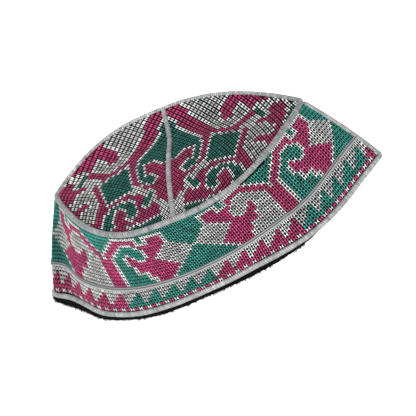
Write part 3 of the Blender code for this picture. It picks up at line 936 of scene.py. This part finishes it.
def crownStitches(half):
    # every second step over and down on one half, inside the piping and beside the seam
    over, down = [grid.ravel() for grid in np.meshgrid(np.arange(-60, 61), np.arange(-26, 34))]
    kept = (over + down) % 2 == 0
    over, down = over[kept].astype(float), down[kept].astype(float)
    x, y = crownPlace(over, down)
    inside = (y > frontRidgeY(x)) & (y < backRidgeY(x)) & (np.abs(x) < capShape["halfLength"])
    loop = ridgeLoop()[::2, :2]
    apart = np.linalg.norm(np.stack([x, y], -1)[:, None] - loop[None], axis=-1).min(axis=1)
    kept = inside & (apart > crownSettings["edgeGap"]) & (over * half > crownSettings["seamGap"])
    return over[kept], down[kept]


for half, name in ((-1, "crownStitchesLeft"), (1, "crownStitchesRight")):
    over, down = crownStitches(half)
    letters = crownLetters(np.abs(over), down)
    # painted light on the crown's far slope, brighter towards the back ridge
    lean = np.clip((crownSettings["paintedLightStart"] - down) / crownSettings["paintedLightReach"], 0, 1)
    tones = np.array([crownSettings["tones"][letter] for letter in letters])
    tones *= 1 + crownSettings["paintedLightGain"] * lean
    addStitches(name, over, down, letters, crownWarp, crownStyle, tones)
print("stage 4: the stitches are laid")

# cords are a core closely overcast with satin thread
cordSettings = {
    "ribPitch": 1.6,         # millimetres from one turn of the thread to the next
    "stations": 4,           # rings to a turn
    "around": 12,
    "fullness": 1.0,         # share of the solid cord's radius
    "ribDepth": 0.11,        # share of the radius
    "ribPower": 0.7,
    "slant": 0.45,           # of a turn, up one side of the cord and down the other
    "unevenness": 0.02,
    "driftReach": 9,
    "endShare": 0.55,        # of the radius at an open end
    # the cord's tone, set per cord below: lighter and darker copies of one thread, painted light and
    # shade
    "tone": 1.0,
    "farFrom": (-10.0, 25.0),   # where the cap's back begins, in millimetres
    "farPaintedLight": 1.0,          # painted light at the back of the cap, and the share of the radius left there
    "farRadius": 1.0,
    # from where, and how much, a painted shade darkens the cord towards the right
    "rightFrom": (30.0, 85.0),
    "rightPaintedShade": 1.0,
    # painted shade in the groove between two turns
    "paintedGrooveShade": 0.1,
    "turnSpread": 0.13,      # of tone from turn to turn
    "fleck": 0.3,            # and round each
    "seed": 5,
}
# the piping gets painted light at the back and painted shade at the right; the binding and seam are
# painted lighter
pipingSettings = dict(cordSettings, fullness=0.9, tone=0.98, farPaintedLight=1.35, farRadius=0.78,
                      rightPaintedShade=0.84, fleck=0.4)
bindingSettings = dict(cordSettings, fullness=1.1, tone=1.16, farPaintedLight=1.16)
seamSettings = dict(cordSettings, tone=1.08, farPaintedLight=1.08)


def slowNoise(count, reach, chance, closed):
    # random steps averaged over a reach, so that they drift
    raw = chance.normal(size=count)
    if not closed:
        return np.convolve(raw, np.ones(reach) / np.sqrt(reach), "same")
    return sum(np.roll(raw, shift) for shift in range(reach)) / np.sqrt(reach)


def addCord(name, path, radius, closed, upAxis, settings):
    # a ring carried along the path, whose radius swells over each turn of the thread
    chance = np.random.default_rng(settings["seed"] + len(name))
    _, length = evenPath(path, closed, 10)
    count = int(length / settings["ribPitch"]) * settings["stations"] + (0 if closed else 1)
    path, _ = evenPath(path, closed, count)
    ahead = unit(aheadOnLoop(path) if closed else np.gradient(path, axis=0))
    side = unit(np.cross(ahead, np.array(upAxis, float)))
    up = np.cross(side, ahead)
    angle = np.linspace(0, 2 * np.pi, settings["around"], endpoint=False)
    turn = np.arange(count) / settings["stations"]
    phase = turn[:, None] + settings["slant"] * np.sin(angle)
    rib = np.abs(np.sin(np.pi * phase)) ** settings["ribPower"]
    far = np.interp(path[:, 1], settings["farFrom"], [0.0, 1.0])[:, None]
    uneven = 1 + settings["unevenness"] * slowNoise(count, settings["driftReach"], chance, closed)
    ring = radius * settings["fullness"] * uneven[:, None] * (1 + (settings["farRadius"] - 1) * far)
    ring = ring * (1 - settings["ribDepth"] + settings["ribDepth"] * rib)
    if not closed:
        share = np.minimum(np.arange(count), np.arange(count)[::-1]) / settings["stations"]
        ring *= np.clip(settings["endShare"] + (1 - settings["endShare"]) * share, 0, 1)[:, None]
    points = (path[:, None] + side[:, None] * (ring * np.cos(angle))[..., None]
              + up[:, None] * (ring * np.sin(angle))[..., None])
    faces = tubeFaces(count, len(angle), closed)
    piece = addMesh(name, points.reshape(-1, 3), faces, [cordThread])
    setMap(piece.data, "threadMap", angle / (2 * np.pi) * 12, (turn * settings["ribPitch"])[:, None])
    # each turn has its own tone, flecked round the cord; the groove between two turns gets a painted
    # shade, the back painted light and the right end painted shade
    own = 1 + settings["turnSpread"] * chance.normal(size=(int(turn[-1]) + 2, 1))
    flecks = chance.uniform(size=(len(own), len(angle) // 2)).repeat(2, axis=1)
    own = own * (1 - settings["fleck"] * flecks)
    shade = settings["paintedGrooveShade"] + (1 - settings["paintedGrooveShade"]) * rib
    shade *= settings["tone"] + (settings["farPaintedLight"] - settings["tone"]) * far
    shade *= np.interp(path[:, 0], settings["rightFrom"], [1.0, settings["rightPaintedShade"]])[:, None]
    setTone(piece.data, shade * own[turn.astype(int)])
    turnOutwards(piece.data)
    return piece


def seamPath():
    # over the crown beside the seam, from piping to piping
    frontY = float(frontRidgeY(np.array(cordSizes["seamFrontX"])))
    backY = float(backRidgeY(np.array(cordSizes["seamBackX"])))
    y = np.linspace(frontY + cordSizes["seamTuck"], backY - cordSizes["seamTuck"], 80)
    path = crownPoint(seamX(y), y)
    path[:, 2] += cordSizes["seamLift"]
    return path


def endPath(tip):
    # down a tip's crease from the piping to the binding
    along = np.full(40, 0.0 if tip < 0 else 1.0)
    top = capShape["tipTop"] - cordSizes["endTop"]
    bottom = bindingHeight("front", along[:1])[0] + cordSizes["endBottom"]
    path = wallPoint("front", along, np.linspace(top, bottom, len(along)))
    path[:, 0] -= tip * cordSizes["endInset"]
    return path


# how far the piping rides up on the crown along the front: millimetres across, rise
pipingRise = np.array([(-120.0, 0.9), (-75.0, 1.2), (-35.0, 0.1), (5.0, 1.0), (60.0, 1.6),
                       (115.0, 0.9)])


def pipingPath():
    # the ridge's loop, drawn up and a little towards the crown along the front, sunk at the back
    path = ridgeLoop()
    near = np.interp(path[:, 1], cordSizes["pipingFrom"], [1.0, 0.0])
    rise = readTable(pipingRise, path[:, 0]) * near
    path[:, 1] += cordSizes["pipingIn"] * rise
    path[:, 2] += rise - cordSizes["pipingSunk"] * (1 - near)
    return path


for name, path, radius, closed, upAxis, settings in (
        ("ridgePiping", pipingPath(), "pipingRadius", True, (0, 0, 1), pipingSettings),
        ("rimBinding", wallLoop(bindingHeight), "bindingRadius", True, (0, 0, 1), bindingSettings),
        ("crownSeamCord", seamPath(), "seamRadius", False, (0, 0, 1), seamSettings),
        ("endSeamCordLeft", endPath(-1), "endRadius", False, (0, 1, 0), cordSettings),
        ("endSeamCordRight", endPath(1), "endRadius", False, (0, 1, 0), cordSettings)):
    addCord(name, path, cordSizes[radius], closed, upAxis, settings)

# a flat plait at the waist: two strands side by side whose turns slant towards each other
braidSettings = {
    "width": 3.1,
    "thickness": 1.0,
    "crease": 0.45,          # shares of the thickness: between the strands, and behind
    "behind": 0.35,
    "around": 18,
    "ribPitch": 1.25,
    "stations": 5,
    "ribDepth": 0.16,
    "edgeSwell": 0.03,
    "chevron": 0.55,
    "stand": 0.15,
    "paintedGrooveShade": 0.45,      # painted shade between two turns, and the painted highlight that a turn's top has more
    "paintedRibHighlight": 0.45,
}
# its painted shade across: half widths up from its middle, shade; the groove between the strands gets
# the darkest painted shade
braidPaintedShade = np.array([(-1.0, 0.5), (-0.7, 1.0), (-0.15, 1.0), (0.15, 0.03), (0.5, 0.1),
                       (0.75, 1.0), (1.0, 0.6)])


def addBraid(name, side):
    # a ring of two lobes carried along the waist, its height swelling in chevrons
    def pathAt(along, above=0.0):
        # points of the wall at the waist, or a little above it
        return wallPoint(side, along, np.full_like(along, capShape["waist"] + above))

    settings, gap = braidSettings, groundSettings["tipGap"]
    _, length = evenPath(pathAt(np.linspace(gap, 1 - gap, 500)), False, 10)
    count = int(length / settings["ribPitch"]) * settings["stations"] + 1
    place = np.linspace(gap, 1 - gap, count)
    path = pathAt(place)
    up = unit(pathAt(place, 1.0) - path)
    out = np.cross(unit(np.gradient(path, axis=0)), up)
    angle = np.linspace(0, 2 * np.pi, settings["around"], endpoint=False)
    across = np.cos(angle)
    lobes = np.sqrt(np.clip(1 - (np.abs(across) * 2 - 1) ** 2, 0, 1)) ** 0.8
    front = settings["crease"] + (1 - settings["crease"]) * lobes
    face = np.where(np.sin(angle) > 0, front, -settings["behind"])
    face[np.abs(np.sin(angle)) < 1e-6] = 0
    turn = np.arange(count)[:, None] / settings["stations"]
    rib = np.abs(np.sin(np.pi * (turn + settings["chevron"] * np.abs(across))))
    swell = np.where(face > 0, 1 - settings["ribDepth"] + settings["ribDepth"] * rib ** 0.7, 1.0)
    edge = settings["width"] / 2 * (1 - settings["edgeSwell"] + settings["edgeSwell"] * rib)
    points = (path[:, None] + up[:, None] * (edge * across)[..., None]
              + out[:, None] * (settings["stand"] + settings["thickness"] * face * swell)[..., None])
    faces = tubeFaces(count, len(angle))
    piece = addMesh(name, points.reshape(-1, 3), faces, [cordThread])
    setMap(piece.data, "threadMap", angle / (2 * np.pi) * 6, turn * settings["ribPitch"])
    # painted shade in the grooves and across the plait, painted highlight on the turns' tops
    shade = settings["paintedGrooveShade"] + settings["paintedRibHighlight"] * rib
    setTone(piece.data, shade * readTable(braidPaintedShade, across))
    turnOutwards(piece.data)
    return piece


addBraid("bandBraidFront", "front")
addBraid("bandBraidBack", "back")

# the velvet facing inside the rim, with a black foot that shows where the binding is raised: a dark
# sheet standing for the shadow under the binding
facingSettings = {
    "height": 12.0,
    "inset": 3.0,
    "thickness": 1.5,
    "footShown": -0.3,       # the foot's inset where the binding is raised, and where it lies low
    "footHidden": 2.4,
    "hiddenBelow": 2.9,      # heights of the binding's middle
    "shownAbove": 3.2,
    "underBinding": 0.4,     # top of the foot below that, in radii, and its least height
    "leastFoot": 0.8,
    "samples": 420,
    "rounding": 6,           # samples averaged on either side at the tips
    "profilePoints": 40,
    "nap": 0.12,
    "mapStep": 0.72,
    "seed": 3,
}


def addFacing(name):
    # a closed profile of six corners, rounded by averaging, carried round the rim
    settings = facingSettings
    along = np.arange(settings["samples"]) / settings["samples"]
    raised = np.concatenate([bindingHeight(side, along) for side in ("front", "back")])
    foot = np.interp(raised, [settings["hiddenBelow"], settings["shownAbove"]],
                     [settings["footHidden"], settings["footShown"]])
    inner = np.full_like(foot, settings["inset"] + settings["thickness"])
    outer = np.full_like(foot, settings["inset"])

    def ring(height, inset):
        # the rim's loop at the height given for each sample, moved in by the inset
        def heightOf(side, at):
            # the first half of the heights is the front's
            return height[:len(at)] if side == "front" else height[len(at):]

        loop = wallLoop(heightOf, settings["rounding"], settings["samples"])
        return loop - inset[:, None] * levelNormal(aheadOnLoop(loop))

    floor = np.zeros_like(foot)
    footTop = raised - cordSizes["bindingRadius"] * settings["underBinding"]
    footTop = np.maximum(footTop, settings["leastFoot"])
    top = np.full_like(foot, settings["height"])
    corners = np.stack([ring(floor, foot), ring(footTop, foot), ring(footTop, outer),
                        ring(top, outer), ring(top, inner), ring(floor, inner)])
    closed = np.concatenate([corners, corners[:1]])
    around = runningLength(closed.mean(axis=1))[-1]
    spots = np.linspace(0, len(corners), settings["profilePoints"], endpoint=False)
    low = spots.astype(int)
    share = (spots - low)[:, None, None]
    grid = smoothLoop(closed[low] * (1 - share) + closed[low + 1] * share, 1)
    chance = np.random.default_rng(settings["seed"])
    grid += settings["nap"] * chance.uniform(-1, 1, size=grid.shape)
    grid[..., 2] = np.maximum(grid[..., 2], 0)
    rows, columns = grid.shape[:2]
    faces = gridFaces(rows, columns, True, True).tolist()
    piece = addMesh(name, grid.reshape(-1, 3), faces, [blackVelvetAndShadow])
    setMap(piece.data, "clothMap", np.arange(columns) * settings["mapStep"],
           (spots * around / len(corners))[:, None])
    turnOutwards(piece.data)
    return piece


addFacing("rimVelvet")

# pile fibres that stand out under the binding where the foot shows: the fuzzy edge of the shadow there,
# made as black fibres
pileSettings = {
    "count": 11000,
    "length": 3.4,
    "halfWidth": 0.14,
    "lowest": 0.25,          # root over the floor
    "bindingAbove": 3.3,     # they grow where the binding's middle is higher than this
    "stray": 0.5,            # of a root along the rim
    "out": (0.6, 1.0),       # lean away from the wall, along it, and down or up
    "sideways": 0.35,
    "rise": (-0.8, 0.6),
    "tuft": (0.2, 1.0),      # share of the length from tuft to tuft, and from fibre to fibre
    "own": (0.6, 1.0),
    "samples": 900,
    "seed": 9,
}


def addPile(name):
    # thin three-sided fibres rooted on the foot, between the binding's loop and the floor's
    settings = pileSettings
    chance = np.random.default_rng(settings["seed"])
    loop = wallLoop(bindingHeight, 3, settings["samples"])
    floorLoop = wallLoop(lambda side, at: np.zeros_like(at), facingSettings["rounding"],
                         settings["samples"])
    spot = chance.integers(0, len(loop), size=settings["count"])
    spot = spot[loop[spot, 2] > settings["bindingAbove"]]
    count = len(spot)
    ahead = unit(aheadOnLoop(loop) * [1, 1, 0])[spot]
    out = levelNormal(ahead)
    under = np.maximum(loop[spot, 2] - cordSizes["bindingRadius"] * 0.5, settings["lowest"] + 0.1)
    height = settings["lowest"] + (under - settings["lowest"]) * chance.uniform(0, 1, size=count)
    fallen = (1 - height / loop[spot, 2])[:, None]
    root = loop[spot] * (1 - fallen) + floorLoop[spot] * fallen
    root += ahead * settings["stray"] * chance.uniform(-1, 1, size=(count, 1)) + out * 0.15
    lean = (out * chance.uniform(*settings["out"], size=(count, 1))
            + ahead * chance.normal(0, settings["sideways"], size=(count, 1)))
    lean[:, 2] = chance.uniform(*settings["rise"], size=count)
    tuft = chance.uniform(*settings["tuft"], size=len(loop) // 3).repeat(3)[spot, None]
    tip = root + lean * settings["length"] * tuft * chance.uniform(*settings["own"], size=(count, 1))
    tip[:, 2] = np.maximum(tip[:, 2], 0.05)
    middle = root * 0.35 + tip * 0.65
    side = ahead * settings["halfWidth"]
    rise = np.array([0, 0, settings["halfWidth"] * 1.5])
    points = np.stack([root - side, root + side, root + rise,
                       middle - side * 0.8, middle + side * 0.8, middle + rise * 0.8, tip], axis=1)
    starts = points.shape[1] * np.arange(count)[:, None, None]
    quads = starts + np.array([[0, 1, 4, 3], [1, 2, 5, 4], [2, 0, 3, 5]])
    ends = starts + np.array([[3, 4, 6], [4, 5, 6], [5, 3, 6], [0, 2, 1]])
    faces = quads.reshape(-1, 4).tolist() + ends.reshape(-1, 3).tolist()
    piece = addMesh(name, points.reshape(-1, 3), faces, [blackVelvetAndShadow])
    spread = np.array([[0, 0], [1, 0], [0.5, 0], [0, 2], [1, 2], [0.5, 2], [0.5, 4]])
    setMap(piece.data, "clothMap", np.tile(spread[:, 0], count), np.tile(spread[:, 1], count))
    turnOutwards(piece.data)
    print(count, "fibres of pile")
    return piece


addPile("rimPileAndShadow")
print("stage 5: cords, plait and velvet are on")

# each made piece stands for the solid in its place
standsFor = {
    "bandClothFront": "band_front",
    "bandClothBack": "band_back",
    "crownClothLeft": "crown_left",
    "crownClothRight": "crown_right",
    "crownSeamCord": "crown_seam_cord",
    "ridgePiping": "ridge_piping",
    "rimBinding": "rim_binding",
    "endSeamCordLeft": "end_seam_cord_left",
    "endSeamCordRight": "end_seam_cord_right",
    "bandBraidFront": "band_braid_front",
    "bandBraidBack": "band_braid_back",
    "rimVelvet": "rim_velvet",
}
for name, node in standsFor.items():
    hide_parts(node)

# a plain pale floor, soft light and the camera
stageSettings = {
    "floorHalf": 15.0,
    "floorColour": linear(246, 246, 246),
    "floorGlow": 0.80,
    "sky": 0.6,
    "keyPower": 20.0,
    "keySize": 0.9,
    "keyPlace": (0.2, -1.2, 0.75),
    "backPower": 4.0,
    "backPlace": (-0.3, 1.2, 0.75),
}
floorMesh = bpy.data.meshes.new("floor")
half = stageSettings["floorHalf"]
floorCorners = [(-half, -half, 0), (half, -half, 0), (half, half, 0), (-half, half, 0)]
floorMesh.from_pydata(floorCorners, [], [(0, 1, 2, 3)])
floor = bpy.data.objects.new("floor", floorMesh)
bpy.context.scene.collection.objects.link(floor)
floorPaint, _, shader = newMaterial("palePaper", 0.9, 0.0, 0.5, 0.1)
shader.inputs["Base Color"].default_value = stageSettings["floorColour"]
shader.inputs["Emission Color"].default_value = (1, 1, 1, 1)
shader.inputs["Emission Strength"].default_value = stageSettings["floorGlow"]
floorMesh.materials.append(floorPaint)
floor.visible_diffuse = False

world = bpy.data.worlds.new("softRoom")
world.use_nodes = True
world.node_tree.nodes["Background"].inputs["Color"].default_value = (1, 1, 1, 1)
world.node_tree.nodes["Background"].inputs["Strength"].default_value = stageSettings["sky"]
bpy.context.scene.world = world


def addLight(name, place, power, size, aim=(0, 0, 0.03)):
    # a square lamp turned from its place to its aim
    lamp = bpy.data.lights.new(name, "AREA")
    lamp.energy = power
    lamp.size = size
    light = bpy.data.objects.new(name, lamp)
    light.location = place
    light.rotation_euler = (Vector(aim) - Vector(place)).to_track_quat("-Z", "Y").to_euler()
    bpy.context.scene.collection.objects.link(light)


addLight("keyLight", stageSettings["keyPlace"], stageSettings["keyPower"], stageSettings["keySize"])
addLight("backLight", stageSettings["backPlace"], stageSettings["backPower"], stageSettings["keySize"])

# the photograph's viewpoint: above and to the right, with the picture turned
cameraSettings = {
    "target": (8.8, -31.5, 35.0),
    "elevation": 42.0,
    "azimuth": 19.457665,
    "roll": 34.0,
    "distance": 600.0,
    "focalPixels": 900.0,
    "imagePixels": 416,
    "sensor": 36.0,
}


def addCamera():
    # back along the sight line from the target, then turned about it by the roll
    settings = cameraSettings
    elevation, azimuth, roll = np.radians([settings[part] for part in ("elevation", "azimuth", "roll")])
    back = np.array([np.sin(azimuth) * np.cos(elevation), -np.cos(azimuth) * np.cos(elevation),
                     np.sin(elevation)])
    place = toFrame(np.array(settings["target"]) + back * settings["distance"])
    right = unit(np.cross(-back, [0, 0, 1]))
    up = np.cross(right, -back)
    rolledRight = right * np.cos(roll) - up * np.sin(roll)
    rolledUp = up * np.cos(roll) + right * np.sin(roll)
    lens = bpy.data.cameras.new("camera")
    lens.sensor_width = settings["sensor"]
    lens.lens = settings["focalPixels"] * settings["sensor"] / settings["imagePixels"]
    lens.clip_start, lens.clip_end = 0.01, 20
    camera = bpy.data.objects.new("camera", lens)
    turned = Matrix([list(rolledRight), list(rolledUp), list(back)]).transposed()
    camera.matrix_world = Matrix.Translation(Vector(place)) @ turned.to_4x4()
    bpy.context.scene.collection.objects.link(camera)
    bpy.context.scene.camera = camera


addCamera()
bpy.context.scene.view_settings.view_transform = "Standard"
print("stage 6: floor, light and camera are set")
